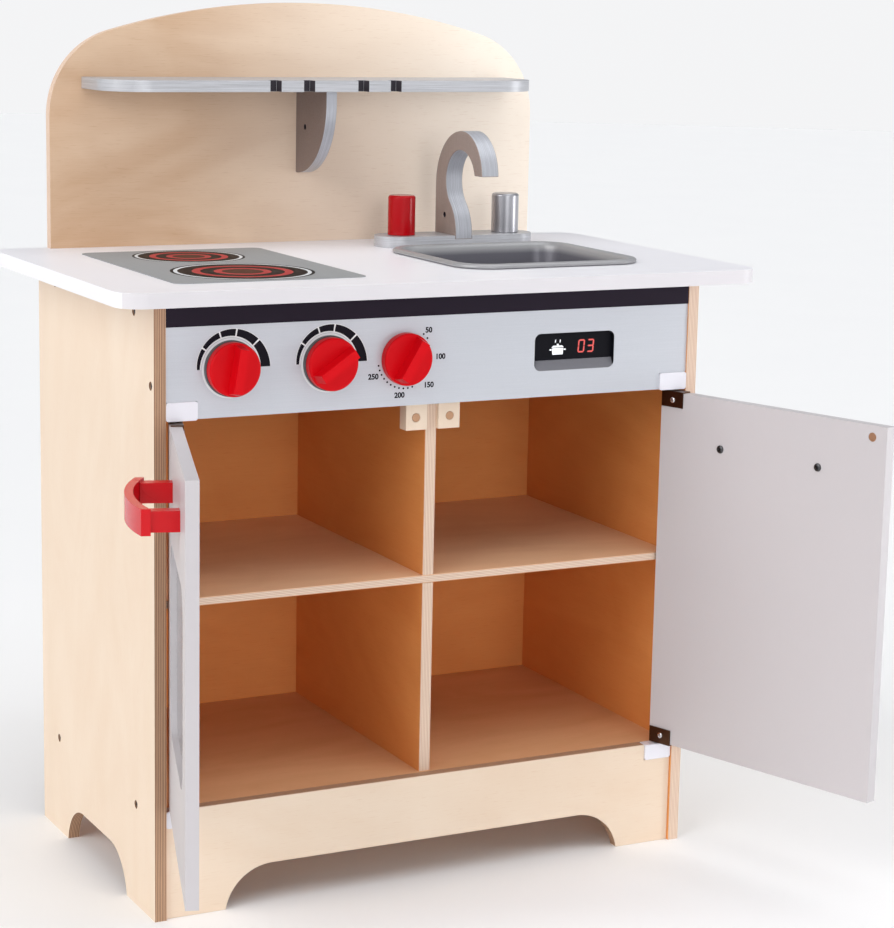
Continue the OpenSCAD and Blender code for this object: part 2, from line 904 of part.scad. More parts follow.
centred() panel_screws(-1);  // side_screws_left
centred() panel_screws(1);  // side_screws_right
centred() back_screws();
centred() top_screws();
centred() splash_screws();
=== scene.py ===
"""Toy kitchen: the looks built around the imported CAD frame. Metres, Z up, +Y towards the wall."""

import json
import math

import bmesh
import bpy
from mathutils import Matrix, Vector


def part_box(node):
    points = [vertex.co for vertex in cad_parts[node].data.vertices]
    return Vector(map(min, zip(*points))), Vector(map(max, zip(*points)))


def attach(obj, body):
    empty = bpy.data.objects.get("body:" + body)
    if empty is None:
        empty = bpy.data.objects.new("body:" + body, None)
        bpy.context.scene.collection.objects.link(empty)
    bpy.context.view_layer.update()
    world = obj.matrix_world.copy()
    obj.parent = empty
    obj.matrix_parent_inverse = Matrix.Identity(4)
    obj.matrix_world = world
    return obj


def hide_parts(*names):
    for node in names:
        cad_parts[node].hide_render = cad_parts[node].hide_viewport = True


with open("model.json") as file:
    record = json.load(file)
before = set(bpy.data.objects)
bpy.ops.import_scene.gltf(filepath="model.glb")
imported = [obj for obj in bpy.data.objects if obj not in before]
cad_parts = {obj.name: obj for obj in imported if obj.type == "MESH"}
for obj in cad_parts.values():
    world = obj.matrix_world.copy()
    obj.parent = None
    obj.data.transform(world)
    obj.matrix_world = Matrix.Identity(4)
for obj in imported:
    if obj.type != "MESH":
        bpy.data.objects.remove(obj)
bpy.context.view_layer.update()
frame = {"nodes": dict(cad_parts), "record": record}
NODES = frame["nodes"]
BODY_OF = {n: b for b, ns in frame["record"]["behaviour"]["bodies"].items() for n in ns}
SLOT_OF = {s["node"]: s["material_slot"] for s in frame["record"]["subparts"]}

MM = 0.001
# The drawing measures Y from the cabinet's front edge; the countertop ends 360 mm behind it
FRONT_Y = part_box("countertop")[1].y - 360 * MM


def at(x, y, z):
    """A point given in millimetres, with Y from the cabinet's front edge."""
    return Vector((x * MM, y * MM + FRONT_Y, z * MM))


# ---------------------------------------------------------------- camera and lamps

CAMERA_AT = at(-1091.6, -2134.3, 897.5)
CAMERA_YAW = math.radians(27.151)
CAMERA_PITCH = math.radians(10.934)
CAMERA_ROLL = math.radians(1.155)


def add_camera():
    cam = bpy.data.cameras.new("camera")
    cam.sensor_fit = "HORIZONTAL"
    cam.sensor_width = 36
    cam.lens = 98.73
    cam.shift_x = 0.0067
    cam.clip_end = 20
    forward = Vector((
        math.sin(CAMERA_YAW) * math.cos(CAMERA_PITCH),
        math.cos(CAMERA_YAW) * math.cos(CAMERA_PITCH),
        -math.sin(CAMERA_PITCH),
    ))
    right = Vector((math.cos(CAMERA_YAW), -math.sin(CAMERA_YAW), 0))
    up = right.cross(forward)
    c, s = math.cos(CAMERA_ROLL), math.sin(CAMERA_ROLL)
    right, up = right * c + up * s, up * c - right * s
    obj = bpy.data.objects.new("camera", cam)
    rot = Matrix((right, up, -forward)).transposed().to_4x4()
    obj.matrix_world = Matrix.Translation(CAMERA_AT) @ rot
    bpy.context.scene.collection.objects.link(obj)
    bpy.context.scene.camera = obj


def add_sun(name, towards, strength, spread, color=(1, 1, 1)):
    """Even, soft studio light from a direction; spread is its size in degrees."""
    lamp = bpy.data.lights.new(name, "SUN")
    lamp.energy = strength
    lamp.angle = math.radians(spread)
    lamp.color = color
    obj = bpy.data.objects.new(name, lamp)
    obj.matrix_world = Vector(towards).to_track_quat("Z", "Y").to_matrix().to_4x4()
    bpy.context.scene.collection.objects.link(obj)


def add_strip(name, towards, distance, height, size, power):
    """A tall soft box beside the object, which draws the upright highlights on round pieces."""
    lamp = bpy.data.lights.new(name, "AREA")
    lamp.shape = "RECTANGLE"
    lamp.size, lamp.size_y = size
    lamp.energy = power
    obj = bpy.data.objects.new(name, lamp)
    aim = Vector((*towards, 0)).normalized()
    turn = aim.to_track_quat("Z", "Y").to_matrix().to_4x4()
    obj.matrix_world = Matrix.Translation(aim * distance + Vector((0, 0, height))) @ turn
    obj.visible_camera = False
    bpy.context.scene.collection.objects.link(obj)


def add_world():
    world = bpy.data.worlds.new("studio")
    bpy.context.scene.world = world
    world.use_nodes = True
    back = world.node_tree.nodes["Background"]
    back.inputs["Color"].default_value = (0.94, 0.96, 1.0, 1)
    back.inputs["Strength"].default_value = 0.40
    bpy.context.scene.view_settings.view_transform = "Standard"


# ---------------------------------------------------------------- materials


class Shader:
    """A material whose nodes are made by short calls; an input is a number, colour or socket."""

    def __init__(self, name):
        self.mat = bpy.data.materials.new(name)
        self.mat.use_nodes = True
        self.tree = self.mat.node_tree
        self.bsdf = self.tree.nodes["Principled BSDF"]
        self.coords = self.tree.nodes.new("ShaderNodeTexCoord").outputs["Object"]

    def node(self, kind, settings=None, **inputs):
        made = self.tree.nodes.new(kind)
        for key, value in (settings or {}).items():
            setattr(made, key, value)
        for key, value in inputs.items():
            self.put(made.inputs[int(key[1:]) if key[0] == "_" else key.replace("_", " ")], value)
        return made

    def put(self, socket, value):
        if isinstance(value, bpy.types.NodeSocket):
            self.tree.links.new(value, socket)
        else:
            socket.default_value = value

    def scaled(self, x, y, z):
        return self.node("ShaderNodeMapping", None, Vector=self.coords, Scale=(x, y, z)).outputs[0]

    def noise(self, vector, scale, detail=3.0, rough=0.55, distortion=0.0):
        made = self.node(
            "ShaderNodeTexNoise", None, Vector=vector, Scale=scale, Detail=detail,
            Roughness=rough, Distortion=distortion,
        )
        return made.outputs[0]

    def math(self, operation, a, b=0.0, c=0.0, clamp=False):
        made = self.node("ShaderNodeMath", {"operation": operation, "use_clamp": clamp},
                         _0=a, _1=b, _2=c)
        return made.outputs[0]

    def ramp(self, fac, *stops):
        made = self.node("ShaderNodeValToRGB", None, Fac=fac)
        band = made.color_ramp
        while len(band.elements) < len(stops):
            band.elements.new(0.5)
        for element, (place, color) in zip(band.elements, sorted(stops, key=lambda s: s[0])):
            element.position = place
            shade = color if isinstance(color, tuple) else (color,) * 3
            element.color = (*shade, 1)
        return made.outputs[0]

    def mix(self, fac, a, b, blend="MIX"):
        made = self.node("ShaderNodeMix", {"data_type": "RGBA", "blend_type": blend})
        self.put(made.inputs[0], fac)
        for socket, value in ((made.inputs[6], a), (made.inputs[7], b)):
            self.put(socket, (*value, 1) if isinstance(value, tuple) else value)
        return made.outputs[2]

    def split(self):
        return self.node("ShaderNodeSeparateXYZ", None, Vector=self.coords).outputs

    def finish(self, color, rough, bump=None, depth=0.0002, strength=0.5, **fixed):
        self.put(self.bsdf.inputs["Base Color"],
                 (*color, 1) if isinstance(color, tuple) else color)
        self.put(self.bsdf.inputs["Roughness"], rough)
        if bump is not None:
            made = self.node("ShaderNodeBump", None, Height=bump, Strength=strength,
                             Distance=depth)
            self.put(self.bsdf.inputs["Normal"], made.outputs[0])
        for key, value in fixed.items():
            self.bsdf.inputs[key.replace("_", " ")].default_value = value
        return self.mat


def stretch(axis, along, across):
    """Texture scales that run long along one axis."""
    return [along if i == axis else across for i in range(3)]


def wood_face(name, light, dark, axis, figure=0.5, lines=0.14, painted_light=None):
    """Rotary-cut birch veneer: soft cloudy figure, a few wandering lines and fine fibres. The
    last argument (pale colour, X from, X to) is painted light: it pales the sheet slowly from one
    side to the other."""
    s = Shader(name)
    wander = s.noise(s.scaled(*stretch(axis, 1.4, 5)), 1.0, 3, 0.55, 1.2)
    rings = s.math("SINE", s.math("MULTIPLY", wander, 24.0))
    rings = s.math("MULTIPLY_ADD", rings, 0.5, 0.5)
    cloud = s.noise(s.scaled(*stretch(axis, 3.2, 6.5)), 1.2, 3, 0.55, 1.6)
    fibre = s.noise(s.scaled(*stretch(axis, 22, 900)), 1.0, 2, 0.6)
    pores = s.noise(s.scaled(*stretch(axis, 70, 1500)), 1.0, 1, 0.5)
    fac = s.math("MULTIPLY", rings, lines)
    fac = s.math("MULTIPLY_ADD", cloud, 0.85, fac)
    fac = s.math("MULTIPLY_ADD", fibre, 0.20, fac)
    fac = s.math("MULTIPLY", s.math("SUBTRACT", fac, 0.22), figure * 1.6, clamp=True)
    color = s.mix(fac, light, dark)
    # Painted light: the sheet pales towards one side, where more light falls on it
    if painted_light is not None:
        pale, x0, x1 = painted_light
        ragged = 0.25
        across = s.math("MULTIPLY_ADD", s.split()[0], 1 / (x1 - x0),
                        -x0 / (x1 - x0) - ragged / 2)
        across = s.math("MULTIPLY_ADD", cloud, ragged, across, clamp=True)
        color = s.mix(across, color, pale)
    fleck = s.ramp(pores, (0.27, 1.0), (0.34, 0.0))
    color = s.mix(s.math("MULTIPLY", fleck, 0.18), color, dark, "MULTIPLY")
    rough = s.math("MULTIPLY_ADD", fibre, 0.12, 0.46)
    return s.finish(color, rough, fibre, 0.00012, 0.35, Specular_IOR_Level=0.3)


def ply_edge(name, thin, low, high, layers, light, dark):
    """A sawn plywood edge: layers across the thickness, alternately pale and brown."""
    s = Shader(name)
    place = s.split()[thin]
    wobble = s.noise(s.scaled(*stretch(thin, 300, 25)), 1.0, 2)
    depth = s.math("MULTIPLY_ADD", place, layers / (high - low), -low * layers / (high - low))
    depth = s.math("MULTIPLY_ADD", wobble, 0.22, depth)
    band = s.math("PINGPONG", depth, 1.0)
    pattern = s.ramp(band, (0.18, 0.0), (0.42, 1.0), (0.60, 0.85), (0.85, 0.1))
    streak = s.noise(s.scaled(*stretch(thin, 1600, 40)), 1.0, 3, 0.7)
    fac = s.math("MULTIPLY_ADD", streak, 0.35, s.math("MULTIPLY", pattern, 0.85), clamp=True)
    color = s.mix(s.math("SUBTRACT", fac, 0.12, clamp=True), light, dark)
    return s.finish(color, s.math("MULTIPLY_ADD", streak, 0.15, 0.55), streak, 0.0002, 0.4,
                    Specular_IOR_Level=0.3)


def paint(name, color, rough=0.4, peel=0.3, tint=0.03, coat=0.0, scale=420, metallic=0.0,
          spec=0.5):
    """Sprayed paint or moulded plastic: faint mottling, orange peel, uneven gloss."""
    s = Shader(name)
    fine = s.noise(s.coords, scale, 3, 0.6)
    broad = s.noise(s.coords, 14, 2, 0.5)
    low = tuple(max(c * (1 - tint * 2), 0) for c in color)
    high = tuple(min(c * (1 + tint), 1) for c in color)
    shade = s.mix(s.math("MULTIPLY_ADD", fine, 0.5, s.math("MULTIPLY", broad, 0.5)), low, high)
    gloss = s.math("MULTIPLY_ADD", broad, 0.10, rough - 0.05)
    return s.finish(shade, gloss, fine, 0.00006, peel, Coat_Weight=coat, Coat_Roughness=0.12,
                    Metallic=metallic, Specular_IOR_Level=spec)


def silver(name, color, thin=None, streaks=0.0, axis=0):
    """Silver-grey paint over plywood; on edges the plies show through as fine streaks."""
    s = Shader(name)
    fine = s.noise(s.coords, 900, 3, 0.65)
    if thin is None:
        lines = s.noise(s.scaled(*stretch(axis, 30, 650)), 1.0, 3, 0.6)
    else:
        lines = s.noise(s.scaled(*stretch(thin, 1500, 14)), 1.0, 3, 0.75)
    low = tuple(c * (1 - 0.5 * streaks) for c in color)
    high = tuple(min(c * (1 + 0.75 * streaks), 1) for c in color)
    shade = s.mix(s.ramp(lines, (0.32, 0.0), (0.68, 1.0)), low, high)
    shade = s.mix(s.math("MULTIPLY", fine, 0.18), shade, (0.9, 0.92, 0.95))
    return s.finish(shade, s.math("MULTIPLY_ADD", lines, 0.14, 0.34), lines, 0.00015, 0.35,
                    Metallic=0.35, Specular_IOR_Level=0.5)


def metal(name, color, rough=0.3, axis=0, scratch=0.3):
    s = Shader(name)
    lines = s.noise(s.scaled(*stretch(axis, 200, 2600)), 1.0, 2, 0.6)
    spots = s.noise(s.coords, 260, 3, 0.6)
    shade = s.mix(s.math("MULTIPLY", spots, 0.4), color, tuple(c * 0.55 for c in color))
    return s.finish(shade, s.math("MULTIPLY_ADD", lines, 0.2, rough - 0.1), lines, 0.00005,
                    scratch, Metallic=1.0)


BIRCH = (0.86, 0.72, 0.58)
BIRCH_DARK = (0.74, 0.54, 0.38)
# The splashback: darker than BIRCH, partly its own tone and partly painted shade under the hanging
# shelf; its palest colour is painted light towards the right
SPLASH = (0.77, 0.58, 0.42)
SPLASH_DARK = (0.56, 0.35, 0.21)
SPLASH_LIT = (0.97, 0.86, 0.74)
PLY_PALE = (0.64, 0.41, 0.26)
PLY_BROWN = (0.12, 0.038, 0.015)
PLY_CREAM = (0.86, 0.70, 0.56)
PLY_ROSE = (0.56, 0.34, 0.24)
# Inside the cabinet: warmer unfinished ply, made darker and more orange than BIRCH with painted
# shade
INSIDE_SHADED = (0.80, 0.47, 0.26)
INSIDE_SHADED_DARK = (0.62, 0.32, 0.15)
SHELF_SHADED = (0.98, 0.64, 0.40)
SHELF_SHADED_DARK = (0.80, 0.46, 0.25)
WALL_SHADED = (0.86, 0.37, 0.115)
WALL_SHADED_DARK = (0.72, 0.26, 0.066)
SILVER = (0.45, 0.455, 0.48)


def brushed_panel():
    s = Shader("brushed_silver")
    lines = s.noise(s.scaled(16, 900, 1500), 1.0, 3, 0.7)
    grit = s.noise(s.scaled(500, 900, 1300), 1.0, 2, 0.6)
    broad = s.noise(s.scaled(3, 3, 20), 1.0, 2, 0.5)
    fac = s.math("MULTIPLY_ADD", grit, 0.35, s.math("MULTIPLY", lines, 0.5))
    fac = s.math("MULTIPLY_ADD", broad, 0.25, fac)
    color = s.mix(fac, (0.50, 0.52, 0.565), (0.67, 0.69, 0.735))
    return s.finish(color, s.math("MULTIPLY_ADD", grit, 0.2, 0.36), lines, 0.00006, 0.35,
                    Metallic=0.35)


def hob_print(centres):
    """Grey film with two printed burners, each a set of rings in red, brown and black."""
    s = Shader("hob_print")
    x, y, _ = s.split()
    brush = s.noise(s.scaled(900, 20, 900), 1.0, 3, 0.6)
    grit = s.noise(s.coords, 1500, 2, 0.6)
    color = s.mix(s.math("MULTIPLY_ADD", brush, 0.6, s.math("MULTIPLY", grit, 0.4)),
                  (0.27, 0.28, 0.285), (0.38, 0.39, 0.40))
    glow = s.noise(s.coords, 40, 2, 0.5)
    red = s.mix(glow, (0.38, 0.03, 0.032), (0.54, 0.075, 0.07))
    disk = s.mix(grit, (0.009, 0.006, 0.006), (0.024, 0.015, 0.013))
    heart = s.mix(grit, (0.06, 0.02, 0.012), (0.10, 0.035, 0.02))
    for cx, cy, radius in centres:
        dx = s.math("SUBTRACT", x, cx)
        dy = s.math("SUBTRACT", y, cy)
        reach = s.math("SQRT", s.math("ADD", s.math("MULTIPLY", dx, dx),
                                      s.math("MULTIPLY", dy, dy)))
        part = s.math("DIVIDE", reach, radius)
        for low, high, shade in (
            (0.955, 1.0, (0.015, 0.015, 0.016)),
            (0.90, 0.955, (0.70, 0.72, 0.73)),
            (0.0, 0.90, disk),
            (0.585, 0.70, red),
            (0.29, 0.40, red),
            (0.0, 0.29, heart),
        ):
            ring = s.math("COMPARE", part, (low + high) / 2, (high - low) / 2)
            color = s.mix(ring, color, shade)
    return s.finish(color, s.math("MULTIPLY_ADD", grit, 0.15, 0.45), brush, 0.00004, 0.25,
                    Specular_IOR_Level=0.10)


def clear_pane():
    s = Shader("clear_acrylic")
    haze = s.noise(s.coords, 60, 3, 0.6)
    color = s.mix(haze, (0.93, 0.96, 0.97), (0.98, 0.99, 1.0))
    return s.finish(color, s.math("MULTIPLY_ADD", haze, 0.05, 0.03), haze, 0.00004, 0.1,
                    Transmission_Weight=1.0, IOR=1.49)


def glow(name, color, strength):
    s = Shader(name)
    spots = s.noise(s.coords, 900, 2, 0.5)
    shade = s.mix(spots, tuple(c * 0.6 for c in color), color)
    s.put(s.bsdf.inputs["Emission Color"], (*color, 1))
    return s.finish(shade, s.math("MULTIPLY_ADD", spots, 0.1, 0.35),
                    Emission_Strength=strength)


# ---------------------------------------------------------------- mesh helpers


def new_object(name, mesh, body, slot, *mats):
    obj = bpy.data.objects.new(name, mesh)
    bpy.context.scene.collection.objects.link(obj)
    for m in mats:
        mesh.materials.append(m)
    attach(obj, body)
    return obj


def mesh_from(bm, name, sharp=38):
    """Ends a bmesh: shades it smooth, with its edges sharp above an angle in degrees."""
    bmesh.ops.recalc_face_normals(bm, faces=bm.faces)
    limit = math.radians(sharp)
    for f in bm.faces:
        f.smooth = True
    for e in bm.edges:
        e.smooth = not (len(e.link_faces) == 2 and e.calc_face_angle(0) > limit)
    mesh = bpy.data.meshes.new(name)
    bm.to_mesh(mesh)
    bm.free()
    return mesh


def even_normals(obj):
    made = obj.modifiers.new("even_normals", "WEIGHTED_NORMAL")
    made.keep_sharp = True
    made.weight = 80
    return obj


def cad_copy(node):
    """The CAD solid as clean faces, ready for its edges to be eased."""
    bm = bmesh.new()
    bm.from_mesh(NODES[node].data)
    bmesh.ops.remove_doubles(bm, verts=bm.verts, dist=1e-6)
    bmesh.ops.dissolve_limit(bm, angle_limit=math.radians(0.4), verts=bm.verts, edges=bm.edges)
    return bm


def ease(bm, width, segments=2, angle=40):
    edges = [e for e in bm.edges
             if len(e.link_faces) == 2 and e.calc_face_angle(0) > math.radians(angle)]
    bmesh.ops.bevel(bm, geom=edges, offset=width, offset_type="OFFSET", segments=segments,
                    profile=0.5, affect="EDGES", clamp_overlap=True)


def eased(node, width, face, edge=None, thin=None, segments=2, back=None, back_sign=0,
          inlay=None, inside=None):
    """A piece that stands for a CAD node with its edges eased. Faces square to the thin axis
    take the face material, or the back material on the side that back_sign names, and the
    sawn edges take the edge material. Faces for which inside(centre, normal) is true take
    the inlay material."""
    bm = cad_copy(node)
    mats = [m for m in (face, edge, back, inlay) if m is not None]
    for f in bm.faces:
        if inlay is not None and inside(f.calc_center_median(), f.normal):
            f.material_index = mats.index(inlay)
        elif edge is not None and abs(f.normal[thin]) < 0.9:
            f.material_index = mats.index(edge)
        elif back is not None and f.normal[thin] * back_sign > 0.5:
            f.material_index = mats.index(back)
    ease(bm, width * MM, segments)
    obj = new_object(node + "_eased", mesh_from(bm, node + "_eased"), BODY_OF[node],
                     SLOT_OF[node], *mats)
    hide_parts(node)
    return even_normals(obj)


def lathe(profile, segments=32):
    """Closed solid turned about Z from (radius, height) points; it ends on the axis."""
    bm = bmesh.new()
    rings = []
    for r, z in profile:
        if r == 0:
            rings.append([bm.verts.new((0, 0, z))])
        else:
            rings.append([
                bm.verts.new((r * math.cos(a), r * math.sin(a), z))
                for a in (2 * math.pi * i / segments for i in range(segments))
            ])
    for a, b in zip(rings, rings[1:]):
        for i in range(segments):
            j = (i + 1) % segments
            corners = [a[i % len(a)], a[j % len(a)], b[j % len(b)], b[i % len(b)]]
            bm.faces.new(list(dict.fromkeys(corners)))
    return bm


def prism(outline, low, high, top_scale=1.0, bottom_scale=1.0):
    """Closed solid between two heights, from a plane outline."""
    bm = bmesh.new()
    lower = [bm.verts.new((x * bottom_scale, y * bottom_scale, low)) for x, y in outline]
    upper = [bm.verts.new((x * top_scale, y * top_scale, high)) for x, y in outline]
    bm.faces.new(lower[::-1])
    bm.faces.new(upper)
    for i in range(len(outline)):
        j = (i + 1) % len(outline)
        bm.faces.new([lower[i], lower[j], upper[j], upper[i]])
    return bm


def cut(bm, cutter):
    """The first solid less the second, as a new bmesh."""
    pair = []
    for solid in (bm, cutter):
        mesh = bpy.data.meshes.new("cutting")
        bmesh.ops.recalc_face_normals(solid, faces=solid.faces)
        solid.to_mesh(mesh)
        solid.free()
        obj = bpy.data.objects.new("cutting", mesh)
        bpy.context.scene.collection.objects.link(obj)
        pair.append(obj)
    made = pair[0].modifiers.new("cut", "BOOLEAN")
    made.operation = "DIFFERENCE"
    made.solver = "EXACT"
    made.object = pair[1]
    graph = bpy.context.evaluated_depsgraph_get()
    result = bmesh.new()
    result.from_mesh(pair[0].evaluated_get(graph).to_mesh())
    for obj in pair:
        mesh = obj.data
        bpy.data.objects.remove(obj)
        bpy.data.meshes.remove(mesh)
    return result


def join(parts):
    """One bmesh from (bmesh, matrix) pairs; a part may be used again and again."""
    whole = bmesh.new()
    for part, matrix in parts:
        mesh = bpy.data.meshes.new("part")
        part.to_mesh(mesh)
        mesh.transform(matrix)
        if matrix.determinant() < 0:
            mesh.flip_normals()
        whole.from_mesh(mesh)
        bpy.data.meshes.remove(mesh)
    return whole


def facing(point, axis):
    """Matrix that puts Z along an axis at a point."""
    turn = Vector(axis).to_track_quat("Z", "Y").to_matrix().to_4x4()
    return Matrix.Translation(point) @ turn


# ---------------------------------------------------------------- screws


def cross_screw(head_r, head_t, shank_r, length):
    """Pan-head screw with a cross recess; the head's seat is at height 0."""
    profile = [
        (0, -length), (shank_r * 0.3, -length), (shank_r, -length + 2 * shank_r),
        (shank_r, -0.4), (head_r * 0.97, 0), (head_r, head_t * 0.25),
        (head_r * 0.94, head_t * 0.60), (head_r * 0.76, head_t * 0.87),
        (head_r * 0.42, head_t), (0, head_t),
    ]
    body = lathe([(r * MM, z * MM) for r, z in profile], 28)
    w, l = head_r * 0.14 * MM, head_r * 0.60 * MM
    cross = [(w, w), (w, l), (-w, l), (-w, w), (-l, w), (-l, -w),
             (-w, -w), (-w, -l), (w, -l), (w, -w), (l, -w), (l, w)]
    recess = prism(cross, head_t * 0.2 * MM, head_t * 1.3 * MM, 1.1, 0.5)
    return cut(body, recess)


def screw_set(node, seats, head_r, head_t, shank_r, length, mat):
    """Screws for one CAD node, at (seat, axis, turn) places; they replace its plain ones."""
    one = cross_screw(head_r, head_t, shank_r, length)
    parts = [(one, facing(p, axis) @ Matrix.Rotation(math.radians(spin), 4, "Z"))
             for p, axis, spin in seats]
    obj = new_object(node + "_cross", mesh_from(join(parts), node + "_cross", 30),
                     BODY_OF[node], SLOT_OF[node], mat)
    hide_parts(node)
    return obj


# ---------------------------------------------------------------- doors' own frame

PIVOT = (276.5, 7)
DOOR_OPEN = 107.8


def door_matrix(side):
    """From a door drawn closed, hinge axis at the origin, to where it stands open."""
    place = Matrix.Translation(at(PIVOT[0], PIVOT[1], 0)) @ Matrix.Rotation(
        math.radians(DOOR_OPEN), 4, "Z")
    return place if side > 0 else Matrix.Scale(-1, 4, (1, 0, 0)) @ place


def on_door(side, u, v, z):
    return door_matrix(side) @ Vector((u * MM, v * MM, z * MM))


def door_axis(side, u, v):
    return (door_matrix(side).to_3x3() @ Vector((u, v, 0))).normalized()


# ---------------------------------------------------------------- the studio

DOME_R = 15

add_camera()
add_world()
add_sun("key_light", (-0.84, -0.22, 0.50), 1.65, 50, (1.0, 0.99, 0.975))
add_sun("front_light", (-0.12, -0.98, 0.14), 0.62, 26)
add_sun("top_light", (0.15, -0.25, 0.95), 1.2, 60, (0.98, 0.99, 1.0))
add_strip("right_strip", (0.90, -0.43), 2.3, 0.75, (0.30, 1.5), 13)


def add_floor():
    bm = bmesh.new()
    bmesh.ops.create_grid(bm, x_segments=2, y_segments=2, size=40)
    mesh = mesh_from(bm, "studio_floor")
    s = Shader("studio_floor")
    grain = s.noise(s.coords, 3, 2, 0.5)
    mesh.materials.append(s.finish(s.mix(grain, (0.92, 0.92, 0.925), (0.94, 0.94, 0.94)), 0.7))
    floor = bpy.data.objects.new("studio_floor", mesh)
    bpy.context.scene.collection.objects.link(floor)


def add_backdrop():
    """Pale dome round the studio. Only the camera sees it: it neither lights nor shades."""
    bm = bmesh.new()
    bmesh.ops.create_uvsphere(bm, u_segments=64, v_segments=32, radius=DOME_R)
    mesh = mesh_from(bm, "studio_backdrop")
    s = Shader("studio_backdrop")
    tone = s.noise(s.coords, 0.1, 1, 0.5)
    pale = s.mix(tone, (0.90, 0.905, 0.915), (0.91, 0.91, 0.92))
    s.put(s.bsdf.inputs["Emission Color"], pale)
    mesh.materials.append(s.finish((0, 0, 0), 1.0, Emission_Strength=1.0, Specular_IOR_Level=0.0))
    dome = bpy.data.objects.new("studio_backdrop", mesh)
    for kind in ("diffuse", "glossy", "transmission", "shadow"):
        setattr(dome, "visible_" + kind, False)
    bpy.context.scene.collection.objects.link(dome)


add_floor()
add_backdrop()

# ---------------------------------------------------------------- cabinet

X, Y, Z = 0, 1, 2


def edge_for(node, thin, layers=7, light=PLY_PALE, dark=PLY_BROWN):
    low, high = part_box(node)
    return ply_edge(node + "_sawn", thin, low[thin], high[thin], layers, light, dark)


birch_upright = wood_face("birch_upright", BIRCH, BIRCH_DARK, Z, 0.45)
birch_level = wood_face("birch_level", BIRCH, BIRCH_DARK, X, 0.5)
inside_level = wood_face("inside_level", INSIDE_SHADED, INSIDE_SHADED_DARK, X, 0.8)
inside_deep = wood_face("inside_deep", INSIDE_SHADED, INSIDE_SHADED_DARK, Y, 0.8)

shaded_inside_wall = wood_face("shaded_inside_wall", WALL_SHADED, WALL_SHADED_DARK, Y, 0.8)
# Painted shade: each side panel's inner face is the same board as its pale outer face
for side, inward, light, dark in (("side_panel_left", 1, PLY_PALE, PLY_BROWN),
                                  ("side_panel_right", -1, PLY_CREAM, PLY_ROSE)):
    eased(side, 0.8, birch_upright, edge_for(side, X, 7, light, dark), X, back=shaded_inside_wall,
          back_sign=inward)
eased("front_skirt", 0.8, birch_level, edge_for("front_skirt", Y), Y)
eased("floor_panel", 0.5, inside_level, edge_for("floor_panel", Z), Z)
eased("mid_shelf", 0.5, wood_face("inside_shelf", SHELF_SHADED, SHELF_SHADED_DARK, X, 0.8),
      edge_for("mid_shelf", Z, 5, PLY_CREAM, PLY_ROSE), Z)
eased("centre_divider", 0.5, shaded_inside_wall,
      edge_for("centre_divider", X, 7, PLY_CREAM, PLY_ROSE), X)
# Painted shade on the back panel's inner face; its outer face is plain birch
eased("back_panel", 0.4, wood_face("inside_back", WALL_SHADED, WALL_SHADED_DARK, X, 0.8),
      edge_for("back_panel", Y, 3), Y, back=birch_level, back_sign=1)
for side in ("top_cleat_left", "top_cleat_right"):
    eased(side, 0.8, inside_deep)
# The splashback carries painted shade under the shelf and painted light that pales its right side
eased("splashback", 1.2, wood_face("birch_splash", SPLASH, SPLASH_DARK, X, 0.8, 0.22,
                                   (SPLASH_LIT, -0.14, 0.22)),
      edge_for("splashback", Y, 7, PLY_CREAM, PLY_ROSE), Y, 3)
for block in ("catch_block_left", "catch_block_right"):
    eased(block, 1.0, birch_upright)

black = paint("black_paint", (0.014, 0.008, 0.018), 0.55, 0.3, spec=0.15)
eased("fascia_strip", 0.6, black)
panel_finish = brushed_panel()
# Painted shade on the display recess's sloping sill
sill_shade = paint("sill_shade", (0.17, 0.17, 0.19), 0.4, 0.1)
eased("control_panel", 0.7, panel_finish, inlay=sill_shade,
      inside=lambda c, n: n.z > 0.2 and n.y < -0.2)

# ---------------------------------------------------------------- worktop

white = paint("white_lacquer", (0.90, 0.89, 0.93), 0.38, 0.15, 0.01)
# Painted shade: the countertop's front face is the same white lacquer, darkened where less light
# falls
white_front_shade = paint("white_front_shade", (0.70, 0.675, 0.70), 0.38, 0.15, 0.01)
eased("countertop", 2.6, white, segments=4, inlay=white_front_shade, inside=lambda c, n: n.y < -0.5)
silver_face = silver("silver_face", SILVER, None, 0.10, X)
# Painted shade in holes, slots and notches, which light hardly reaches
hollow_shade = paint("hollow_shade", (0.050, 0.045, 0.055), 0.6, 0.2, spec=0.1)
FAUCET_X = 150.5 * MM


def in_faucet_slot(centre, normal):
    """The side walls of the slot that houses the faucet's foot, which take painted shade."""
    return abs(normal.x) > 0.9 and abs(centre.x - FAUCET_X) < 12 * MM


eased("faucet_plate", 1.2, silver_face, silver("faucet_plate_edge", SILVER, Z, 0.45), Z, 3,
      inlay=hollow_shade, inside=in_faucet_slot)

SHELF_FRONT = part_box("hanging_shelf")[0].y
NOTCH_DEPTH = (0.5 * MM, 15 * MM)
NOTCH_X = 100 * MM


def in_notch(centre, normal):
    """The walls of the hanging shelf's four notches, which stay clear of its round ends; they take
    painted shade.
    """
    near, far = NOTCH_DEPTH
    upright = abs(normal.z) < 0.5
    return near < centre.y - SHELF_FRONT < far and upright and abs(centre.x) < NOTCH_X


eased("hanging_shelf", 1.2, silver_face, silver("hanging_shelf_edge", SILVER, Z, 0.45), Z, 3,
      inlay=hollow_shade, inside=in_notch)


PLUG_REACH = 3.2 * MM


def plug_hole(y, z):
    """Test for the walls and the end of a blind hole along X, which take painted shade."""
    spot = at(0, y, z)
    return lambda c, n: abs(c.y - spot.y) < PLUG_REACH and abs(c.z - spot.z) < PLUG_REACH


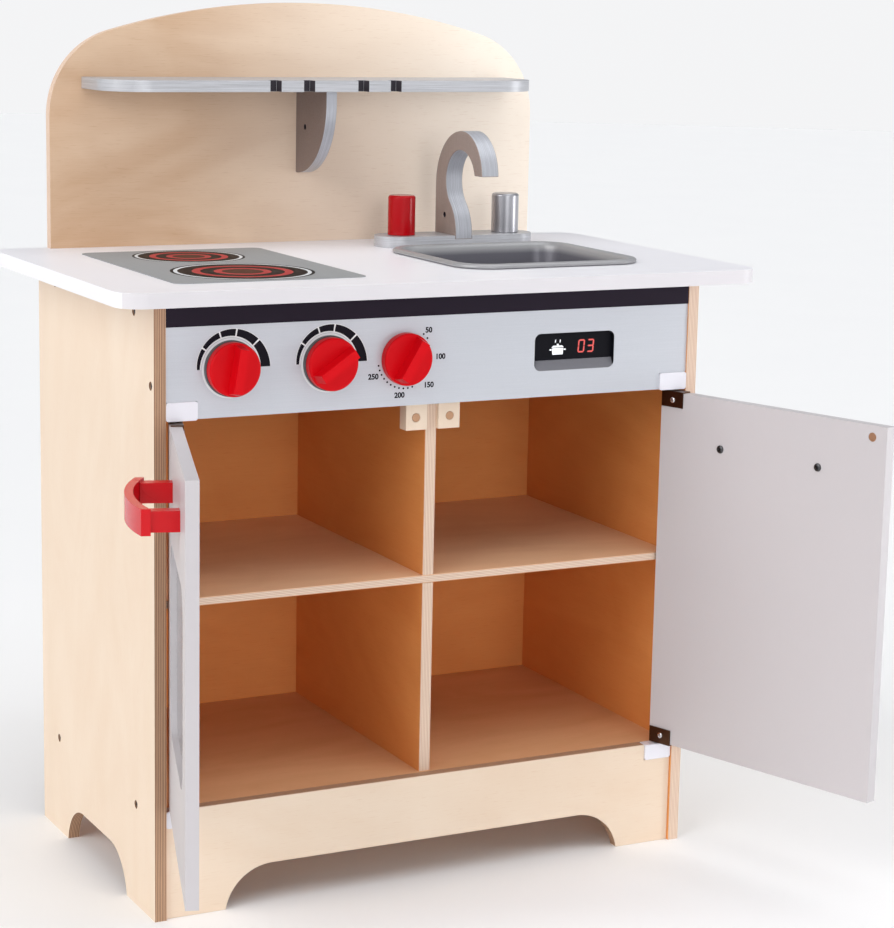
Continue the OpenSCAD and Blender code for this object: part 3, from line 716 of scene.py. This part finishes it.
# Painted shade: the faucet's and the bracket's broad sides are the same silver paint as their
# edges, darkened to taupe away from the light; the bracket's is darker still
for node, face, hole in (("faucet", (0.296, 0.222, 0.195), plug_hole(272, 655)),
                         ("shelf_bracket", (0.197, 0.136, 0.119), plug_hole(322, 749))):
    eased(node, 1.4, silver(node + "_face", face, None, 0.12, Z),
          silver(node + "_edge", (0.40, 0.41, 0.45), X, 0.5), X, 3, inlay=hollow_shade,
          inside=hole)

# Each burner's X, Y and radius in millimetres
BURNERS = ((-177, 228, 58), (-175.4, 86.4, 71))
eased("hob_plate", 0.25, hob_print([(at(x, y, 0).x, at(x, y, 0).y, r * MM)
                                    for x, y, r in BURNERS]))

red_lacquer = paint("red_lacquer", (0.44, 0.002, 0.006), 0.14, 0.05, 0.04, spec=0.2)
tap_silver = paint("tap_silver", (0.45, 0.45, 0.48), 0.30, 0.1, 0.03, scale=900, metallic=0.8)
eased("tap_red", 0.3, red_lacquer)
eased("tap_grey", 0.3, tap_silver)

SINK_CENTRE = (151, 131)
SINK_HALF = (107, 101)
SINK_CORNER = 38


def sink_ring(inset, z):
    """Rounded rectangle, so far in from the rim's edge, as points around it."""
    half_x, half_y = (half - inset for half in SINK_HALF)
    r = max(SINK_CORNER - inset, 5)
    points = []
    for quarter in range(4):
        a0 = quarter * math.pi / 2
        cx = (half_x - r) * (1 if quarter in (0, 3) else -1)
        cy = (half_y - r) * (1 if quarter < 2 else -1)
        for k in range(13):
            a = a0 + k / 12 * math.pi / 2
            points.append(at(SINK_CENTRE[0] + cx + r * math.cos(a),
                             SINK_CENTRE[1] + cy + r * math.sin(a), z))
    return points


# The sink's wall in section, from under its floor round the rim to the middle of the bowl: how far
# in from the rim's edge, and how high
SINK_SECTION = (
    (27, 574.6), (20, 575.6), (15.8, 579), (13.4, 587), (12.3, 602), (11.3, 621.8),
    (10.6, 623), (2, 623), (0.7, 623.4), (0.1, 624.4), (0.1, 625.3), (0.7, 626.5),
    (2.0, 627.4), (3.8, 627.8), (6.0, 627.8), (8.0, 627.3), (9.8, 626.0), (11.2, 623.8),
    (12.4, 619), (14.4, 604), (16.2, 590), (18.2, 584), (21.5, 580.2), (26, 578.2),
    (33, 577.3), (48, 577.1),
)


# Heights over which painted shade darkens the sink from its rim down into the bowl
BOWL_SHADE_FROM = 608 * MM
BOWL_SHADE_TALL = 20 * MM


def sink_finish():
    """Grey moulded plastic, with painted shade that darkens it down in the bowl."""
    s = Shader("grey_sink")
    fine = s.noise(s.coords, 700, 3, 0.6)
    broad = s.noise(s.coords, 14, 2, 0.5)
    level = s.math("MULTIPLY_ADD", broad, 0.002, s.split()[2])
    height = s.math("MULTIPLY_ADD", level, 1 / BOWL_SHADE_TALL, -BOWL_SHADE_FROM / BOWL_SHADE_TALL)
    rim = s.ramp(height, (0.45, 0.0), (0.75, 1.0))
    bowl = s.mix(fine, (0.13, 0.127, 0.15), (0.155, 0.152, 0.175))
    top = s.mix(fine, (0.34, 0.34, 0.35), (0.38, 0.38, 0.39))
    return s.finish(s.mix(rim, bowl, top), s.math("MULTIPLY_ADD", broad, 0.1, 0.30), fine,
                    0.00006, 0.1, Metallic=0.25, Specular_IOR_Level=0.3)


def add_sink():
    bm = bmesh.new()
    rings = [[bm.verts.new(p) for p in sink_ring(inset, z)] for inset, z in SINK_SECTION]
    count = len(rings[0])
    for a, b in zip(rings, rings[1:]):
        for i in range(count):
            j = (i + 1) % count
            bm.faces.new([a[i], a[j], b[j], b[i]])
    bm.faces.new(rings[0])
    bm.faces.new(rings[-1][::-1])
    bm.normal_update()
    obj = new_object("sink_moulded", mesh_from(bm, "sink_moulded", 60), "sink",
                     SLOT_OF["sink_basin"], sink_finish())
    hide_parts("sink_basin")


add_sink()

# ---------------------------------------------------------------- knobs and printed dials

red_plastic = paint("red_plastic", (0.67, 0.002, 0.007), 0.32, 0.05, 0.03, scale=700, spec=0.12)
for i in (1, 2, 3):
    eased(f"knob_{i}", 0.9, red_plastic, segments=3)
ring_grey = paint("ring_grey", (0.085, 0.085, 0.09), 0.42, 0.3)
for i in (1, 2):
    eased(f"knob_ring_{i}", 0.6, ring_grey)

PANEL_Y = 1.5
KNOB_X = (-222.5, -120.5, -38)
KNOB_Z = 542
# Turns a drawing in X and Z, thick along its own Z, to stand in the room with its front at -Y
STAND = Matrix(((1, 0, 0, 0), (0, 0, -1, 0), (0, 1, 0, 0), (0, 0, 0, 1)))
print_black = paint("print_black", (0.010, 0.008, 0.014), 0.6, 0.1, spec=0.08)
print_white = paint("print_white", (0.85, 0.85, 0.86), 0.5, 0.1)


def flat_print(name, outlines, lift, mat, thick=0.08):
    """Thin printed shapes on the panel's front, as outlines in X and Z millimetres."""
    place = Matrix.Translation(at(0, PANEL_Y - lift, 0)) @ STAND
    whole = join([(prism([(x * MM, z * MM) for x, z in outline], 0, thick * MM), place)
                  for outline in outlines])
    return new_object(name, mesh_from(whole, name, 30), "cabinet", "black_paint", mat)


def on_dial(cx, reach, angle):
    """The point at a distance and an angle in degrees from a knob's middle."""
    a = math.radians(angle)
    return cx + reach * math.cos(a), KNOB_Z + reach * math.sin(a)


def arc_band(cx, inner, outer, a0, a1, steps=18):
    """Outline of a band round a knob, from one angle to another in degrees. Its inner radius is
    even, and its outer one is a function of the angle."""
    line = [a0 + (a1 - a0) * k / steps for k in range(steps + 1)]
    return ([on_dial(cx, outer(a), a) for a in line]
            + [on_dial(cx, inner, a) for a in reversed(line)])


def block_top(angle):
    """The outer radius of a dial's black blocks, which widen to the right."""
    return 34.0 + 7.0 * (180 - angle) / 180


# Where one block of a dial ends and the next starts, in degrees, and half the gap there
BLOCK_ENDS = (180, 144, 108, 80, 42, 0)
HALF_GAP = 1.3

for number, cx in zip((1, 2), KNOB_X):
    flat_print(f"dial_{number}_ground",
               [arc_band(cx, 29.6, lambda a: block_top(a) + 0.5, 0, 180, 60)],
               0.02, print_white, 0.05)
    flat_print(f"dial_{number}_ring",
               [arc_band(cx, 27.0, lambda a: 28.9, a0, a0 + 180, 40) for a0 in (0, 180)],
               0.02, print_white, 0.05)
    flat_print(f"dial_{number}_blocks", [
        arc_band(cx, 31.0, block_top, b + (HALF_GAP if b else 0), a - (HALF_GAP if a < 180 else 0))
        for a, b in zip(BLOCK_ENDS, BLOCK_ENDS[1:])
    ], 0.06, print_black)

DOT_R = 1.0
dots = [on_dial(KNOB_X[2], 29.5, -74 - 9.5 * k) for k in range(11)]
dots += [on_dial(KNOB_X[2], 30.7, angle) for angle in (50, 39)]


def disc(cx, cz, rx, rz, n=28):
    return [(cx + rx * math.cos(2 * math.pi * k / n), cz + rz * math.sin(2 * math.pi * k / n))
            for k in range(n)]


flat_print("dial_3_dots", [disc(x, z, DOT_R, DOT_R, 14) for x, z in dots], 0.04, print_black)


def number_print(text, angle, reach):
    curve = bpy.data.curves.new("dial_number_" + text, "FONT")
    curve.body = text
    curve.size = 7.4 * MM
    curve.align_x = curve.align_y = "CENTER"
    curve.extrude = 0.04 * MM
    curve.offset = 0.28 * MM
    made = bpy.data.objects.new("lettering", curve)
    bpy.context.scene.collection.objects.link(made)
    graph = bpy.context.evaluated_depsgraph_get()
    mesh = bpy.data.meshes.new_from_object(made.evaluated_get(graph))
    bpy.data.objects.remove(made)
    x, z = on_dial(KNOB_X[2], reach, angle)
    place = Matrix.Translation(at(x, PANEL_Y - 0.06, z))
    mesh.transform(place @ Matrix.Rotation(math.pi / 2, 4, "X"))
    mesh.materials.clear()
    new_object("dial_number_" + text, mesh, "cabinet", "black_paint", print_black)


for text, angle, reach in (("50", 47, 37.1), ("100", 0.3, 38.6), ("150", -46.3, 38),
                           ("200", -99, 36.6), ("250", -154.5, 38.2)):
    number_print(text, angle, reach)

# ---------------------------------------------------------------- display

display_black = paint("display_black", (0.004, 0.004, 0.007), 0.35, 0.03, 0.0, spec=0.12)
eased("display_plate", 0.2, display_black)
SCREEN_Y = at(0, PANEL_Y + 4, 0).y
lit_red = glow("lit_red", (0.62, 0.085, 0.075), 0.7)
lit_white = glow("lit_white", (0.85, 0.87, 0.90), 0.6)


def screen_print(name, outlines, mat):
    """Lit shapes on the display, as outlines in X and Z millimetres."""
    place = Matrix.Translation((0, SCREEN_Y - 0.02 * MM, 0)) @ STAND
    parts = [(prism([(x * MM, z * MM) for x, z in o], 0, 0.1 * MM), place) for o in outlines]
    return new_object(name, mesh_from(join(parts), name, 30), "cabinet", "display_black", mat)


def bar(x0, z0, x1, z1, w):
    """A display segment with pointed ends."""
    d = Vector((x1 - x0, z1 - z0)).normalized()
    n = Vector((-d.y, d.x)) * w
    p, q = Vector((x0, z0)), Vector((x1, z1))
    return [tuple(v) for v in (p, p + d * w - n, q - d * w - n, q, q - d * w + n, p + d * w + n)]


def digit(cx, cz, lit, half_w=3.2, half_h=6.0, w=0.75, slant=0.08):
    """The lit segments of a seven-segment figure, lettered as usual from the top round."""
    corners = {
        "a": (-half_w, half_h, half_w, half_h), "b": (half_w, half_h, half_w, 0),
        "c": (half_w, 0, half_w, -half_h), "d": (-half_w, -half_h, half_w, -half_h),
        "e": (-half_w, 0, -half_w, -half_h), "f": (-half_w, half_h, -half_w, 0),
        "g": (-half_w, 0, half_w, 0),
    }
    made = []
    for key in lit:
        x0, z0, x1, z1 = corners[key]
        made.append([(cx + x + slant * z, cz + z) for x, z in bar(x0, z0, x1, z1, w)])
    return made


screen_print("display_digits", digit(163.6, 544.6, "abcdef") + digit(174.4, 544.6, "abcdg"),
             lit_red)

# A plain cooking pot with a lid and two wisps of steam
POT_X, POT_Z = 136.0, 542.0
pot = [
    [(POT_X - 6, POT_Z - 5), (POT_X + 6, POT_Z - 5), (POT_X + 6.6, POT_Z + 1.6),
     (POT_X - 6.6, POT_Z + 1.6)],
    [(POT_X - 7.2, POT_Z + 2.3), (POT_X + 7.2, POT_Z + 2.3), (POT_X + 5.2, POT_Z + 4.2),
     (POT_X - 5.2, POT_Z + 4.2)],
    [(POT_X - 9.4, POT_Z - 0.6), (POT_X - 7.0, POT_Z - 0.6), (POT_X - 7.0, POT_Z + 0.8),
     (POT_X - 9.4, POT_Z + 0.8)],
    [(POT_X + 7.0, POT_Z - 0.6), (POT_X + 9.4, POT_Z - 0.6), (POT_X + 9.4, POT_Z + 0.8),
     (POT_X + 7.0, POT_Z + 0.8)],
    disc(POT_X, POT_Z + 5.2, 1.3, 0.9),
    bar(POT_X - 3, POT_Z + 7, POT_X - 2.4, POT_Z + 10.5, 0.5),
    bar(POT_X + 2.4, POT_Z + 7, POT_X + 3, POT_Z + 10.5, 0.5),
]
screen_print("display_pot_icon", pot, lit_white)

# ---------------------------------------------------------------- doors

door_white = paint("door_white", (0.57, 0.54, 0.555), 0.36, 0.15, 0.012, spec=0.3)
for door in ("door_left", "door_right"):
    eased(door, 0.9, door_white)
handle_red = paint("handle_red", (0.62, 0.003, 0.008), 0.26, 0.06, 0.03, coat=0.06, scale=600,
                   spec=0.25)
for handle in ("handle_left", "handle_right"):
    eased(handle, 1.8, handle_red, segments=4)
eased("oven_window", 0.3, clear_pane())
block_white = paint("block_white", (0.82, 0.81, 0.87), 0.28, 0.06, 0.01, coat=0.3, scale=800)
bronze = metal("bronze", (0.10, 0.055, 0.035), 0.34, X, 0.35)
for side in ("left", "right"):
    for level in ("top", "bottom"):
        eased(f"hinge_block_{side}_{level}", 1.6, block_white, segments=3)
        eased(f"door_bracket_{side}_{level}", 0.35, bronze)
copper = metal("copper", (0.62, 0.36, 0.22), 0.38, X, 0.2)
for side in ("left", "right"):
    eased(f"strike_disc_{side}", 0.3, copper)
eased("catch_magnets", 0.4, copper)
steel = metal("steel", (0.52, 0.52, 0.54), 0.30, Z)
for node in ("tap_pins", "knob_bolt_1", "knob_bolt_2", "knob_bolt_3", "hinge_pins_left",
             "hinge_pins_right"):
    eased(node, 0.25, steel)

# ---------------------------------------------------------------- screws

dark_steel = metal("dark_steel", (0.10, 0.10, 0.105), 0.36, Z)
bright_steel = metal("bright_steel", (0.72, 0.72, 0.74), 0.22, Z)

# Head radius, head height and shank radius of the kitchen's wood screws
WOOD_SCREW = (4.2, 2.0, 2)
# Places of the screws: Y and Z on a side, X and Z on the back and on the splashback
SIDE_SCREWS = ((54, 593), (291, 593), (9, 528), (53, 104), (291, 104))
BACK_SCREWS = ((-200, 104), (0, 104), (200, 104), (0, 220), (0, 440))
SPLASH_SCREWS = ((-180, 173), (180, 173), (0, 102), (0, 142))
for sign, side in ((-1, "left"), (1, "right")):
    screw_set(f"side_screws_{side}",
              [(at(sign * 297, y, z), (sign, 0, 0), 17 * k) for k, (y, z) in
               enumerate(SIDE_SCREWS)], *WOOD_SCREW, 33, dark_steel)
screw_set("back_screws",
          [(at(x, 338.5, z), (0, 1, 0), 23 * k) for k, (x, z) in enumerate(BACK_SCREWS)],
          3.2, 2.0, 1.5, 19.9, bright_steel)
screw_set("top_screws",
          [(at(s * 278, y, 580), (0, 0, -1), 31 * y) for s in (-1, 1) for y in (100, 250)],
          *WOOD_SCREW, 36.9, bright_steel)
screw_set("splash_screws",
          [(at(x, 352, 608), (0, 0, -1), x) for x in (-200, 0, 200)]
          + [(at(x, 358, 622.5 + z), (0, 1, 0), z) for x, z in SPLASH_SCREWS],
          *WOOD_SCREW, 34.9, bright_steel)
HANDLE_Z = 440.5
for sign, side in ((-1, "left"), (1, "right")):
    screw_set(f"handle_screws_{side}",
              [(on_door(sign, u, 6, HANDLE_Z), door_axis(sign, 0, 1), 40 * k)
               for k, u in enumerate((-71.3, -194.7))], *WOOD_SCREW, 29.9, dark_steel)
    screw_set(f"bracket_screws_{side}",
              [(on_door(sign, -7, 7.4, z), door_axis(sign, 0, 1), 20 + z)
               for z in (120.4, 483.6)], 3.2, 1.6, 1.5, 8.3, bright_steel)
